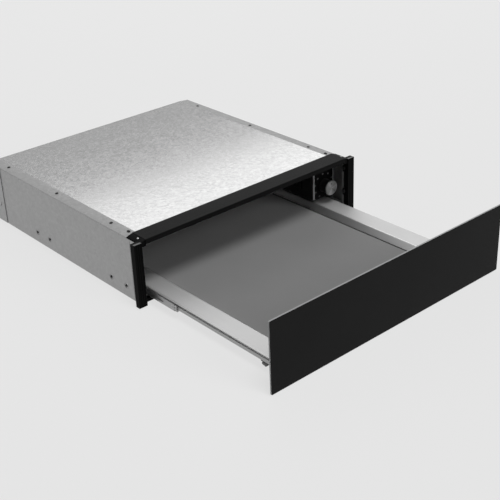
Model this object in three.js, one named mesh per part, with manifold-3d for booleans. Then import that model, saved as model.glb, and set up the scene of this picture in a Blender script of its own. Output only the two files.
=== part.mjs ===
// A built-in warming drawer for a niche 560 mm wide and 140 mm high, drawn with its drawer partly open.
// Millimetres, +Z up. While a piece is drawn, x is 0 on the middle plane, y is 0 on the front plane of
// the black frame and grows to the back, and z is 0 on the underside of the casing. The last lines
// move the origin to the middle of the underside.
import * as THREE from 'three';
import { mergeVertices } from 'three/addons/utils/BufferGeometryUtils.js';
import Module from 'manifold-3d';

const wasm = await Module();
wasm.setup();

// ---------------------------------------------------------------- driving dimensions
const GAP = 0.3; // clearance between pieces that touch
const SHEET = 1; // sheet metal of the casing

const DRAWER_OPEN = 366; // how far the drawer stands out of its closed place
const MIDDLE_OPEN = 90; // how far the middle rails stand out of theirs

const SIDE_X = 275; // outer face of the side panels
const SIDE_FRONT = 13;
const SIDE_TOP = 130.7;
const CASING_BACK = 557;
const RIM_WIDTH = 20; // lower rims of the top cover
const COVER_RISE = 2.5;
const RETURN_FRONT = 515; // where the rear panel's side returns begin
const REAR_BEAD = 2; // height of the beads pressed out of the rear panel

const FRAME_X = 288; // outer edge of the columns
const COLUMN = { width: 18, depth: 12.7, bottom: 1.5, top: 134, wall: 2.2 };
const TOP_RAIL = { halfLength: 261, front: 1, back: 43, top: 138, lip: 10, skin: 2.6 };
const SILL = { halfLength: 272.4, front: 14.6, back: 30, bottom: 0.3, top: 8 };

const PANEL = { width: 594, height: 140, bottom: 1.6, glass: 4, front: -7, corner: 1.5 };
const CARRIER = { halfWidth: 291, bottom: 8, top: 135, sheet: 1.2 };
const BRACKET_X = 228.5; // middle of the two brackets between carrier and tray

const TRAY = { halfWidth: 258.7, front: -1, back: 555, top: 33.4, sheet: 0.9, corner: 6 };
const WELL = { halfWidth: 217, front: 24, back: 551, depth: 15.2, slope: 8, corner: 16 };
const MAT = { margin: 1.5, thickness: 2 };

const RUNNER_WALL = 264.1; // plane that the runners are measured from, towards the drawer
const RUNNER_Z = 23.9; // middle height of the runners
const RAIL_SHEET = 1;
const BALL = 1.1; // radius of the balls
const RACE = BALL + GAP; // radius of the races around them
const INNER_HALF = 3.5; // half height of the inner rail
const OUTER_RAIL = { front: 16, back: 516 };
const MIDDLE_RAIL = { front: 18, back: 508 };
const INNER_RAIL = { front: 2, back: 492 };
const LEVER = { inner: 240, outer: 249, pivotY: 60, pivotZ: 25, bore: 1.8 };

const KNOB_AXIS = { x: 241.5, z: 70 };
const KNOB = { radius: 15.5, back: 44.4 };
const KNOB_CAP = { radius: 17, front: 21.5, back: 25, boss: 5 };
const CONTROL_BOX = { left: 210.5, right: 273.7, front: 48, back: 150, bottom: 41, top: 127 };
const STRIPS = { left: 210.5, right: 268.5, width: 4 }; // near edges of the dial's two trim strips

const DUCT = { wall: 212, bottom: 39.5, top: 129.4, front: 150.3, back: 550 }; // hot air duct at the right
const ROTOR = { x: 247, z: 84, radius: 23, front: 262, back: 421, blades: 16 };
const BLOWER_PLATES = [258, 424]; // front faces of the two plates that hold the fan
const HEATER = { x: 225.5, tube: 3, bottom: 56, top: 112, front: 205, bend: 470 };
const LATCH = { x: 225.5, z: 16.5, front: 32, length: 34 };
const GLAND = { x: 244, z: 98, radius: 9 };

const ordered = (a, b) => [Math.min(a, b), Math.max(a, b)];
const SIDES = [
  { name: 'left', sign: -1 },
  { name: 'right', sign: 1 },
];

// ---------------------------------------------------------------- materials
const finish = (color, roughness, metalness) =>
  new THREE.MeshStandardMaterial({ color, roughness, metalness });
const GALVANISED = () => finish(0xb9bbbd, 0.45, 0.9);
const STAINLESS = () => finish(0xc6c7c8, 0.3, 1);
const BLACK_PAINT = () => finish(0x2b2b2c, 0.5, 0.2);
const BLACK_GLASS = () => finish(0x161617, 0.12, 0);
const DARK_PLASTIC = () => finish(0x1d1d1e, 0.6, 0);
const MAT_GREY = () => finish(0x6f7072, 0.9, 0);
const BARE_STEEL = () => finish(0x8f9193, 0.4, 0.9);
const PALE_PLASTIC = () => finish(0xd8d8d4, 0.5, 0);

// ---------------------------------------------------------------- solids and outlines
// A closed geometry as a solid that can be joined and cut.
function solidOf(geometry) {
  const bare = geometry.clone();
  bare.deleteAttribute('normal');
  bare.deleteAttribute('uv');
  const merged = mergeVertices(bare, 1e-4);
  return new wasm.Manifold(
    new wasm.Mesh({
      numProp: 3,
      vertProperties: merged.attributes.position.array,
      triVerts: new Uint32Array(merged.index.array),
    }),
  );
}

function geometryOf(solid) {
  const { vertProperties, triVerts } = solid.getMesh();
  const geometry = new THREE.BufferGeometry();
  geometry.setAttribute('position', new THREE.BufferAttribute(vertProperties, 3));
  geometry.setIndex(new THREE.BufferAttribute(triVerts, 1));
  geometry.computeVertexNormals();
  return geometry;
}

const join = (first, ...others) =>
  geometryOf(others.reduce((sum, other) => sum.add(solidOf(other)), solidOf(first)));
const cut = (first, ...tools) =>
  geometryOf(tools.reduce((rest, tool) => rest.subtract(solidOf(tool)), solidOf(first)));

// A box from its low to its high corner.
function block([x0, y0, z0], [x1, y1, z1]) {
  const geometry = new THREE.BoxGeometry(x1 - x0, y1 - y0, z1 - z0);
  return geometry.translate((x0 + x1) / 2, (y0 + y1) / 2, (z0 + z1) / 2);
}

// Points of an arc, both ends included, angles in degrees.
function arc(cx, cy, radius, from, to, steps = 6) {
  return Array.from({ length: steps + 1 }, (_, i) => {
    const angle = THREE.MathUtils.degToRad(from + ((to - from) * i) / steps);
    return [cx + radius * Math.cos(angle), cy + radius * Math.sin(angle)];
  });
}

const shapeOf = (points) => new THREE.Shape(points.map(([a, b]) => new THREE.Vector2(a, b)));

// The outline of a bent sheet: the points of one face, and the other face one thickness to the left.
function sheetOutline(face, thickness) {
  const normals = face.slice(1).map(([a, b], i) => {
    const [a0, b0] = face[i];
    const length = Math.hypot(a - a0, b - b0);
    return [-(b - b0) / length, (a - a0) / length];
  });
  const inner = face.map(([a, b], i) => {
    const before = normals[Math.max(i - 1, 0)];
    const after = normals[Math.min(i, normals.length - 1)];
    const share = 1 + before[0] * after[0] + before[1] * after[1];
    return [
      a + (thickness * (before[0] + after[0])) / share,
      b + (thickness * (before[1] + after[1])) / share,
    ];
  });
  return [...face, ...inner.reverse()];
}

// A rounded rectangle around (cx, cy).
function roundedRectangle(halfA, halfB, radius, cx = 0, cy = 0, steps = 4) {
  const corners = [
    [1, 1, 0],
    [-1, 1, 90],
    [-1, -1, 180],
    [1, -1, 270],
  ];
  return corners.flatMap(([a, b, start]) =>
    arc(cx + a * (halfA - radius), cy + b * (halfB - radius), radius, start, start + 90, steps),
  );
}

// Extrusions of an outline. The outline's two numbers are x and z, y and z, or x and y.
function alongY(points, y0, y1) {
  const geometry = new THREE.ExtrudeGeometry(shapeOf(points), { depth: y1 - y0, bevelEnabled: false });
  return geometry.rotateX(Math.PI / 2).translate(0, y1, 0);
}

function alongX(points, x0, x1) {
  const turn = new THREE.Matrix4().makeBasis(
    new THREE.Vector3(0, 1, 0),
    new THREE.Vector3(0, 0, 1),
    new THREE.Vector3(1, 0, 0),
  );
  const geometry = new THREE.ExtrudeGeometry(shapeOf(points), { depth: x1 - x0, bevelEnabled: false });
  return geometry.applyMatrix4(turn).translate(x0, 0, 0);
}

function alongZ(points, z0, z1) {
  const geometry = new THREE.ExtrudeGeometry(shapeOf(points), { depth: z1 - z0, bevelEnabled: false });
  return geometry.translate(0, 0, z0);
}

// A bar with round ends, or a plain cylinder, lying along y.
const rodAlongY = (x, z, radius, y0, y1, sides = 12) =>
  new THREE.CylinderGeometry(radius, radius, y1 - y0, sides).translate(x, (y0 + y1) / 2, z);
const rodAlongX = (y, z, radius, x0, x1, sides = 12) =>
  new THREE.CylinderGeometry(radius, radius, x1 - x0, sides)
    .rotateZ(Math.PI / 2)
    .translate((x0 + x1) / 2, y, z);

// A body of revolution about an axis along y. Its profile is a list of [radius, y].
function turnedAlongY(profile, x, z, sides = 24) {
  const points = profile.map(([radius, y]) => new THREE.Vector2(radius, y));
  if (THREE.ShapeUtils.isClockWise(points)) points.reverse();
  return new THREE.LatheGeometry(points, sides).translate(x, 0, z);
}

// A closed skin through rings of equally many points, with a cap on the first and the last ring.
function loft(rings) {
  const count = rings[0].length;
  const corners = rings.flat(2);
  const faces = [];
  for (let r = 0; r + 1 < rings.length; r += 1) {
    for (let i = 0; i < count; i += 1) {
      const a = r * count + i;
      const b = r * count + ((i + 1) % count);
      faces.push(a, a + count, b, b, a + count, b + count);
    }
  }
  const cap = (ring, offset, flip) => {
    const flat = ring.map(([x, y]) => new THREE.Vector2(x, y));
    THREE.ShapeUtils.triangulateShape(flat, []).forEach(([a, b, c]) =>
      faces.push(offset + a, offset + (flip ? c : b), offset + (flip ? b : c)),
    );
  };
  cap(rings[0], 0, false);
  cap(rings.at(-1), (rings.length - 1) * count, true);
  const geometry = new THREE.BufferGeometry();
  geometry.setAttribute('position', new THREE.Float32BufferAttribute(corners, 3));
  geometry.setIndex(faces);
  geometry.computeVertexNormals();
  return geometry;
}

// ---------------------------------------------------------------- groups that move
const warmingDrawer = new THREE.Group();
const moving = (shift) => {
  const group = new THREE.Group();
  group.position.y = -shift;
  warmingDrawer.add(group);
  return group;
};
const casing = moving(0);
const middleRails = moving(MIDDLE_OPEN);
const outerCages = moving(MIDDLE_OPEN / 2);
const innerCages = moving((MIDDLE_OPEN + DRAWER_OPEN) / 2);
const drawer = moving(DRAWER_OPEN);

function add(group, name, geometry, material) {
  const mesh = new THREE.Mesh(geometry, material);
  mesh.name = name;
  group.add(mesh);
}

// ---------------------------------------------------------------- casing
// The base plate has upturned edges and four beads pressed up out of the flat sheet.
function basePlate() {
  const edge = SIDE_X - SHEET - GAP;
  const bead = (x) => [
    [x - 14, 0],
    [x - 11, 2.5],
    [x + 11, 2.5],
    [x + 14, 0],
  ];
  const face = [[-edge, 9], [-edge, 0], ...[-200, -75, 75, 200].flatMap(bead), [edge, 0], [edge, 9]];
  return alongY(sheetOutline(face, SHEET), SILL.front + SHEET + GAP, CASING_BACK - SHEET - GAP);
}

// A side panel is one sheet with a flange on top, a flange in front for the column's screws,
// and holes for the four runner fixings.
const BRACKETS = [
  { name: 'front', feet: [59, 109] },
  { name: 'rear', feet: [334, 382] },
];

function sidePanel(sign) {
  const face = [
    [sign * SIDE_X, 0],
    [sign * SIDE_X, SIDE_TOP],
    [sign * (SIDE_X - 19), SIDE_TOP],
  ];
  const wall = alongY(sheetOutline(face, sign * SHEET), SIDE_FRONT, CASING_BACK - SHEET - GAP);
  const flangeX = ordered(sign * SIDE_X, sign * (SIDE_X - 9.5));
  const flange = block([flangeX[0], SIDE_FRONT, 0], [flangeX[1], SIDE_FRONT + SHEET, SIDE_TOP - 0.5]);
  const holes = BRACKETS.flatMap(({ feet }) => feet).map((y) =>
    rodAlongX(y, RUNNER_Z, 2.6, sign * SIDE_X - 3, sign * SIDE_X + 3, 10),
  );
  return cut(join(wall, flange), ...holes);
}

// The top cover stands a little proud between two lower rims that are screwed to the side panels.
function topCover() {
  const z = SIDE_TOP + GAP;
  const step = SIDE_X - RIM_WIDTH;
  const face = [
    [-SIDE_X, z],
    [-step, z],
    [-step + 4, z + COVER_RISE],
    [step - 4, z + COVER_RISE],
    [step, z],
    [SIDE_X, z],
  ];
  return alongY(sheetOutline(face, SHEET), TOP_RAIL.back + GAP, CASING_BACK - GAP);
}

// The rear panel's side returns wrap round the side panels. Beads stiffen its web, and cooling
// slots open the service space at the right, above the supply cable's gland.
function rearPanel() {
  const x = SIDE_X + GAP + SHEET;
  const bead = (middle) => [
    [middle + 12, CASING_BACK],
    [middle + 8, CASING_BACK + REAR_BEAD],
    [middle - 8, CASING_BACK + REAR_BEAD],
    [middle - 12, CASING_BACK],
  ];
  const face = [
    [x, RETURN_FRONT],
    [x, CASING_BACK],
    ...[150, 0, -150].flatMap(bead),
    [-x, CASING_BACK],
    [-x, RETURN_FRONT],
  ];
  const skin = alongZ(sheetOutline(face, SHEET), 0.5, SIDE_TOP);
  const slots = [];
  for (let i = 0; i < 6; i += 1) {
    const outline = roundedRectangle(2, 7, 1.2, 221.5 + i * 9, 76, 1);
    slots.push(alongY(outline, CASING_BACK - 3, CASING_BACK + 3));
  }
  return cut(skin, ...slots, rodAlongY(GLAND.x, GLAND.z, GLAND.radius, CASING_BACK - 3, CASING_BACK + 3));
}

add(casing, 'base_plate', basePlate(), GALVANISED());
add(casing, 'top_cover', topCover(), GALVANISED());
add(casing, 'rear_panel', rearPanel(), GALVANISED());
for (const { name, sign } of SIDES) {
  add(casing, `side_panel_${name}`, sidePanel(sign), GALVANISED());
}

// ---------------------------------------------------------------- black front frame
// The top rail is a moulded channel, open below, with cross ribs, two end walls that rest on the
// side panels and a tab that reaches each column.
function topRail() {
  const { halfLength, front, back, top, lip, skin } = TOP_RAIL;
  const section = [
    [front, top - lip],
    [front + skin, top - lip],
    [front + skin, top - skin],
    [back - skin, top - skin],
    [back - skin, SIDE_TOP + GAP],
    [back, SIDE_TOP + GAP],
    ...arc(back - 1, top - 1, 1, 0, 90, 2),
    ...arc(front + 1.2, top - 1.2, 1.2, 90, 180, 3),
  ];
  const ribs = [];
  const ribCount = 9;
  for (let i = 0; i < ribCount; i += 1) {
    const x = ((halfLength - 0.9) * (2 * i - ribCount + 1)) / (ribCount - 1);
    ribs.push(block([x - 0.9, front + 1, SIDE_TOP + GAP], [x + 0.9, back - 1, top - 1]));
  }
  const tabs = SIDES.map(({ sign }) => {
    const [x0, x1] = ordered(sign * (halfLength - 3), sign * (FRAME_X - COLUMN.width - GAP));
    return block([x0, 4, 132], [x1, 10, 135]);
  });
  return join(alongX(section, -halfLength, halfLength), ...ribs, ...tabs);
}

// A column is a channel open to the back, with three shallow grooves down its front face, a
// rounded foot and two screw lugs on its inner side.
function column(sign) {
  const { width, depth, bottom, top, wall } = COLUMN;
  const inner = FRAME_X - width;
  const groove = (x) => [
    [x - 0.9, 0],
    [x - 0.5, 0.7],
    [x + 0.5, 0.7],
    [x + 0.9, 0],
  ];
  const outline = [
    ...arc(inner + 1.2, 1.2, 1.2, 180, 270, 3),
    ...[inner + 4.5, inner + 9, inner + 13.5].flatMap(groove),
    ...arc(FRAME_X - 1.2, 1.2, 1.2, 270, 360, 3),
    [FRAME_X, depth],
    [inner, depth],
  ].map(([x, y]) => [sign * x, y]);
  const [pocketLow, pocketHigh] = ordered(sign * (inner + wall), sign * (FRAME_X - wall));
  const pocket = block([pocketLow, wall + 0.4, bottom + 3], [pocketHigh, depth + 1, top - 3]);
  const foot = alongX(
    [[-1, bottom - 1], [depth + 1, bottom - 1], [depth + 1, bottom], ...arc(2.5, bottom + 2.5, 2.5, 270, 180, 3)],
    -FRAME_X - 1,
    FRAME_X + 1,
  );
  const screwHeights = [57, 111];
  const [lugLow, lugHigh] = ordered(sign * (SIDE_X - 9.5), sign * (inner + 0.5));
  const lugs = screwHeights.map((z) => block([lugLow, depth - 2.4, z - 7], [lugHigh, depth, z + 7]));
  const holes = screwHeights.map((z) =>
    rodAlongY(sign * (SIDE_X - 6.8), z, 1.7, depth - 4, depth + 1, 10),
  );
  return cut(join(alongZ(outline, bottom, top), ...lugs), pocket, ...holes, foot);
}

// The bottom sill is a bent strip between the columns' feet.
function sill() {
  const face = [
    [SILL.back, SILL.top],
    [SILL.front, SILL.top],
    [SILL.front, SILL.bottom],
  ];
  return alongX(sheetOutline(face, SHEET), -SILL.halfLength, SILL.halfLength);
}

add(casing, 'top_rail', topRail(), BLACK_PAINT());
add(casing, 'bottom_sill', sill(), BLACK_PAINT());
for (const { name, sign } of SIDES) {
  add(casing, `column_${name}`, column(sign), BLACK_PAINT());
}

// ---------------------------------------------------------------- telescopic runners
// A runner is three nested rolled channels with balls between them. Its section is drawn as
// [u, v]: u grows from the casing towards the drawer, v is up from the runner's middle.
const INNER_BALL = { u: 9.5, v: INNER_HALF + RACE };
const MIDDLE_HALF = INNER_BALL.v + RACE + RAIL_SHEET;
const OUTER_BALL = { u: 2.7, v: MIDDLE_HALF + RACE };
const OUTER_WEB = GAP;
const CAGE_SHEET = 0.5;
const OUTER_CAGE_WEB = OUTER_WEB + RAIL_SHEET + GAP;
const MIDDLE_WEB = OUTER_CAGE_WEB + CAGE_SHEET + GAP;
const INNER_WEB = INNER_BALL.u + RACE + RAIL_SHEET + 0.8;

const runnerPoint = (sign, [u, v]) => [sign * (RUNNER_WALL - u), RUNNER_Z + v];
const mirrored = (upper) => [...upper, ...upper.map(([u, v]) => [u, -v]).reverse()];

function runnerBar(sign, upperHalf, y0, y1) {
  return alongY(
    mirrored(upperHalf).map((point) => runnerPoint(sign, point)),
    y0,
    y1,
  );
}

// A channel whose flanges end in round hooks over the balls.
function hookedHalf(web, ball) {
  const outside = RACE + RAIL_SHEET;
  return [
    ...arc(web + 1, ball.v + outside - 1, 1, 180, 90, 2),
    ...arc(ball.u, ball.v, outside, 90, 0, 5),
    ...arc(ball.u, ball.v, RACE, 0, 90, 5),
    [web + RAIL_SHEET, ball.v + RACE],
  ];
}

const slotIn = (sign, web, y) => {
  const [x] = runnerPoint(sign, [web, 0]);
  const outline = roundedRectangle(9, 2, 1.9, y, RUNNER_Z, 2);
  return alongX(outline, x - 3, x + 3);
};

function outerRail(sign) {
  const bar = runnerBar(sign, hookedHalf(OUTER_WEB, OUTER_BALL), OUTER_RAIL.front, OUTER_RAIL.back);
  return cut(bar, ...[160, 260, 450].map((y) => slotIn(sign, OUTER_WEB, y)));
}

function middleRail(sign) {
  const bar = runnerBar(sign, hookedHalf(MIDDLE_WEB, INNER_BALL), MIDDLE_RAIL.front, MIDDLE_RAIL.back);
  return cut(bar, ...[60, 130, 330, 440].map((y) => slotIn(sign, MIDDLE_WEB, y)));
}

// The inner rail is a channel with its web towards the casing. A bent flange stands up along it and
// carries the tray. A short plate across its open side holds the release lever's pin.
function innerRail(sign) {
  const web = INNER_BALL.u - 3.5;
  const edge = INNER_WEB + RAIL_SHEET;
  const half = [
    [web + RAIL_SHEET, INNER_HALF - RAIL_SHEET],
    [edge, INNER_HALF - RAIL_SHEET],
    [edge, INNER_HALF],
    [web, INNER_HALF],
  ];
  const bar = runnerBar(sign, half, INNER_RAIL.front, INNER_RAIL.back);
  const under = TRAY.top - TRAY.sheet - GAP - RUNNER_Z;
  const flangeFace = [
    [INNER_WEB, INNER_HALF - 0.9],
    [INNER_WEB, under],
    [INNER_WEB + 12, under],
  ].map((point) => runnerPoint(sign, point));
  const flangeSection = sheetOutline(flangeFace, sign * RAIL_SHEET);
  const flange = alongY(flangeSection, INNER_RAIL.front + 8, INNER_RAIL.back - 8);
  const { pivotY, pivotZ, outer, inner } = LEVER;
  const plateHalf = [
    [INNER_WEB, INNER_HALF - 0.1],
    [edge, INNER_HALF - 0.1],
  ];
  const plate = runnerBar(sign, [plateHalf[1], plateHalf[0]], pivotY - 8, pivotY + 10);
  const plateX = sign * (RUNNER_WALL - INNER_WEB - RAIL_SHEET / 2);
  const pin = rodAlongX(pivotY, pivotZ, LEVER.bore - GAP, ...ordered(plateX, sign * (inner - 0.5)), 10);
  const head = rodAlongX(pivotY, pivotZ, 2.8, ...ordered(sign * (inner - GAP), sign * (inner - 1.2)), 10);
  const washer = rodAlongX(pivotY, pivotZ, 2.8, ...ordered(plateX, sign * (outer + GAP)), 10);
  return join(bar, flange, plate, pin, head, washer);
}

// A cage is a thin strip that keeps its balls apart in the two races.
function ballCage(sign, strip, ball, y0, length, pitch, count) {
  const bar = alongY(
    strip.map((point) => runnerPoint(sign, point)),
    y0,
    y0 + length,
  );
  const balls = [];
  const margin = (length - pitch * (count - 1)) / 2;
  for (let i = 0; i < count; i += 1) {
    for (const v of [-ball.v, ball.v]) {
      const [x, z] = runnerPoint(sign, [ball.u, v]);
      balls.push(new THREE.SphereGeometry(BALL, 6, 4).translate(x, y0 + margin + pitch * i, z));
    }
  }
  return join(bar, ...balls);
}

const outerCageStrip = mirrored([
  [OUTER_CAGE_WEB, OUTER_BALL.v + 0.6],
  [OUTER_CAGE_WEB + CAGE_SHEET, OUTER_BALL.v + 0.6],
  [OUTER_CAGE_WEB + CAGE_SHEET, 0],
]).slice(0, 2);
outerCageStrip.push([OUTER_CAGE_WEB + CAGE_SHEET, -OUTER_BALL.v - 0.6], [OUTER_CAGE_WEB, -OUTER_BALL.v - 0.6]);

const INNER_CAGE_WEB = MIDDLE_WEB + RAIL_SHEET + GAP + 0.4;
const innerCageStrip = mirrored([
  [INNER_CAGE_WEB, INNER_BALL.v + CAGE_SHEET / 2],
  [INNER_BALL.u + 0.6, INNER_BALL.v + CAGE_SHEET / 2],
  [INNER_BALL.u + 0.6, INNER_BALL.v - CAGE_SHEET / 2],
  [INNER_CAGE_WEB + CAGE_SHEET, INNER_BALL.v - CAGE_SHEET / 2],
]);

// A bracket is a bent strip that spans from the side panel's fixings to the outer rail.
function runnerBracket(sign, [first, second]) {
  const foot = SIDE_X - SHEET - GAP;
  const face = [
    [first - 9, foot],
    [first + 7, foot],
    [first + 15, RUNNER_WALL + 1.2],
    [second - 15, RUNNER_WALL + 1.2],
    [second - 7, foot],
    [second + 9, foot],
  ].map(([y, x]) => [sign * x, y]);
  return alongZ(sheetOutline(face, sign * 1.2), RUNNER_Z - 10, RUNNER_Z + 10);
}

// A plastic buffer closes the front end of the middle rail and clips under it.
function railBuffer(sign) {
  const length = 3.5;
  const y0 = MIDDLE_RAIL.front - GAP - length;
  const clear = INNER_HALF + 3 * GAP;
  const nose = [
    ...arc(MIDDLE_WEB + 2.5, -MIDDLE_HALF + 2.5, 2.5, 180, 270, 3),
    ...arc(MIDDLE_WEB + 6.8, -MIDDLE_HALF + 2.2, 2.2, 270, 360, 3),
    [MIDDLE_WEB + 9, -clear],
    [MIDDLE_WEB + 3, -clear],
    [MIDDLE_WEB + 3, clear],
    [MIDDLE_WEB, clear],
  ];
  const clipFrom = OUTER_BALL.u + RACE + RAIL_SHEET + GAP;
  const clip = [
    [clipFrom, -MIDDLE_HALF - 1.4],
    [MIDDLE_WEB + 7, -MIDDLE_HALF - 1.4],
    [MIDDLE_WEB + 7, -MIDDLE_HALF - GAP],
    [clipFrom, -MIDDLE_HALF - GAP],
  ];
  const bridge = clip.map(([u, v], i) => [u, i < 2 ? v : v + 1]);
  const along = (points, reach) =>
    alongY(
      points.map((point) => runnerPoint(sign, point)),
      y0,
      y0 + reach,
    );
  return join(along(nose, length), along(bridge, length), along(clip, length + 5));
}

for (const { name, sign } of SIDES) {
  add(casing, `runner_outer_${name}`, outerRail(sign), BARE_STEEL());
  add(middleRails, `runner_middle_${name}`, middleRail(sign), BARE_STEEL());
  add(middleRails, `runner_buffer_${name}`, railBuffer(sign), PALE_PLASTIC());
  add(drawer, `runner_inner_${name}`, innerRail(sign), BARE_STEEL());
  const outerCage = ballCage(sign, outerCageStrip, OUTER_BALL, 130, 150, 50, 3);
  add(outerCages, `ball_cage_outer_${name}`, outerCage, BARE_STEEL());
  const innerCage = ballCage(sign, innerCageStrip, INNER_BALL, 170, 100, 35, 3);
  add(innerCages, `ball_cage_inner_${name}`, innerCage, BARE_STEEL());
  for (const bracket of BRACKETS) {
    add(casing, `runner_bracket_${bracket.name}_${name}`, runnerBracket(sign, bracket.feet), GALVANISED());
  }
}

// ---------------------------------------------------------------- drawer
// The tray is one pressing: a flat rim with a rolled edge around a sunk well with sloping walls.
function tray() {
  const rimY = (TRAY.front + TRAY.back) / 2;
  const rimHalfY = (TRAY.back - TRAY.front) / 2;
  const wellY = (WELL.front + WELL.back) / 2;
  const wellHalfY = (WELL.back - WELL.front) / 2;
  const rimRing = (inset, z) =>
    roundedRectangle(TRAY.halfWidth - inset, rimHalfY - inset, TRAY.corner, 0, rimY).map((p) => [...p, z]);
  const wellRing = (inset, z) =>
    roundedRectangle(WELL.halfWidth - inset, wellHalfY - inset, WELL.corner - inset / 2, 0, wellY).map((p) => [
      ...p,
      z,
    ]);
  const { top, sheet } = TRAY;
  const floor = top - WELL.depth;
  return loft([
    wellRing(WELL.slope + 0.8, floor),
    wellRing(WELL.slope - 0.6, floor + 0.8),
    wellRing(1.2, top - 1.6),
    wellRing(0.3, top - 0.4),
    wellRing(-0.9, top),
    rimRing(1, top),
    rimRing(0.3, top - 0.3),
    rimRing(0, top - 1),
    rimRing(0.3, top - 1.7),
    rimRing(1, top - 2),
    rimRing(2, top - 1.6),
    rimRing(2.6, top - sheet),
    wellRing(0, top - sheet),
    wellRing(WELL.slope, floor - sheet + 0.5),
    wellRing(WELL.slope + 1.2, floor - sheet),
  ]);
}

function mat() {
  const inset = WELL.slope + MAT.margin;
  const halfY = (WELL.back - WELL.front) / 2 - inset;
  const outline = roundedRectangle(
    WELL.halfWidth - inset,
    halfY,
    8,
    0,
    (WELL.front + WELL.back) / 2,
  );
  const floor = TRAY.top - WELL.depth + GAP;
  return alongZ(outline, floor, floor + MAT.thickness);
}

// The carrier is a plate behind the glass with two beads pressed along it and slots for the screws
// that set the panel straight.
function panelCarrier() {
  const y = PANEL.front + PANEL.glass + GAP;
  const bead = (z) => [
    [y, z - 5],
    [y + 1, z - 3],
    [y + 1, z + 3],
    [y, z + 5],
  ];
  const face = [[y, CARRIER.bottom], ...bead(52), ...bead(104), [y, CARRIER.top]];
  const plate = alongX(sheetOutline(face, -CARRIER.sheet), -CARRIER.halfWidth, CARRIER.halfWidth);
  const slots = SIDES.flatMap(({ sign }) =>
    [17, 25].map((z) => alongY(roundedRectangle(2.2, 3.2, 2.1, sign * BRACKET_X, z, 2), y - 1, y + 3)),
  );
  return cut(plate, ...slots);
}

// A bracket ties the carrier to the tray: an angle with a gusset in its bend.
function frontBracket(sign) {
  const y = PANEL.front + PANEL.glass + GAP + CARRIER.sheet + GAP;
  const under = TRAY.top - TRAY.sheet - GAP;
  const face = [
    [y, 12],
    [y, under - 1.1],
    [y + 3.4, under - 1.1],
    [y + 5, under],
    [y + 62, under],
  ];
  const [x0, x1] = [sign * BRACKET_X - 10, sign * BRACKET_X + 10];
  const middle = sign * (BRACKET_X + 6);
  const gusset = alongX(
    [
      [y + 0.5, 14],
      [y + 3, 14],
      [y + 40, under - 0.5],
      [y + 5, under - 0.5],
      [y + 0.5, under - 1.6],
    ],
    middle - 0.8,
    middle + 0.8,
  );
  const holes = [17, 25].map((z) => rodAlongY(sign * BRACKET_X, z, 1.8, y - 1, y + 3, 8));
  return cut(join(alongX(sheetOutline(face, -1.2), x0, x1), gusset), ...holes);
}

add(drawer, 'tray', tray(), STAINLESS());
add(drawer, 'anti_slip_mat', mat(), MAT_GREY());
add(drawer, 'panel_carrier', panelCarrier(), BLACK_PAINT());

const glassBevel = 0.5;
const glass = new THREE.ExtrudeGeometry(
  shapeOf(
    roundedRectangle(
      PANEL.width / 2 - glassBevel,
      PANEL.height / 2 - glassBevel,
      PANEL.corner,
      0,
      PANEL.bottom + PANEL.height / 2,
      3,
    ),
  ),
  { depth: PANEL.glass - 2 * glassBevel, bevelThickness: glassBevel, bevelSize: glassBevel, bevelSegments: 1 },
);
glass.rotateX(Math.PI / 2).translate(0, PANEL.front + PANEL.glass - glassBevel, 0);
add(drawer, 'front_glass', glass, BLACK_GLASS());

// A release lever hangs under the rim beside each inner rail.
function releaseLever(sign) {
  const { pivotY, pivotZ } = LEVER;
  const outline = [
    ...arc(pivotY, pivotZ, 4.2, 150, 20, 5),
    [pivotY + 5, 17],
    [pivotY + 12, 12.5],
    ...arc(pivotY + 11, 10.6, 1.6, 40, -90, 3),
    [pivotY + 2, 9],
    [pivotY - 4, 15],
  ];
  const [x0, x1] = ordered(sign * LEVER.inner, sign * LEVER.outer);
  const bar = alongX(outline, x0, x1);
  return cut(bar, rodAlongX(pivotY, pivotZ, LEVER.bore, x0 - 1, x1 + 1, 10));
}

for (const { name, sign } of SIDES) {
  add(drawer, `front_bracket_${name}`, frontBracket(sign), GALVANISED());
  add(drawer, `release_lever_${name}`, releaseLever(sign), DARK_PLASTIC());
}

// ---------------------------------------------------------------- controls
// The control box is a moulded shell, open on top, behind the frame at the right.
function controlBox() {
  const { left, right, front, back, bottom, top } = CONTROL_BOX;
  const wall = 1.6;
  const plan = roundedRectangle(
    (right - left) / 2,
    (back - front) / 2,
    2,
    (left + right) / 2,
    (front + back) / 2,
    2,
  );
  const hollow = block([left + wall, front + wall, bottom + wall], [right - wall, back - wall, top + 1]);
  const shaftHole = rodAlongY(KNOB_AXIS.x, KNOB_AXIS.z, 6, front - 1, front + wall + 1, 16);
  const vents = [0, 1, 2, 3, 4].map((i) =>
    block([left - 1, 80 + 10 * i, 60], [left + wall + 1, 84 + 10 * i, 105]),
  );
  return cut(alongZ(plan, bottom, top), hollow, shaftHole, ...vents);
}

// The dial plate has a shallow ring pressed round the shaft hole.
function dialPlate() {
  const { front, bottom, top } = CONTROL_BOX;
  const left = STRIPS.left + STRIPS.width + GAP;
  const right = STRIPS.right - GAP;
  const middle = [(left + right) / 2, (top + bottom) / 2];
  const plate = alongY(
    roundedRectangle((right - left) / 2, (top - bottom) / 2 - 1, 1, ...middle, 2),
    front - GAP - 1.6,
    front - GAP,
  );
  const { x, z } = KNOB_AXIS;
  const ring = turnedAlongY(
    [
      [19, front - 3],
      [20, front - 3],
      [20, front - GAP - 1.2],
      [19, front - GAP - 1.2],
      [19, front - 3],
    ],
    x,
    z,
  );
  return cut(plate, rodAlongY(x, z, 5.5, front - 4, front, 16), ring);
}

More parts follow.
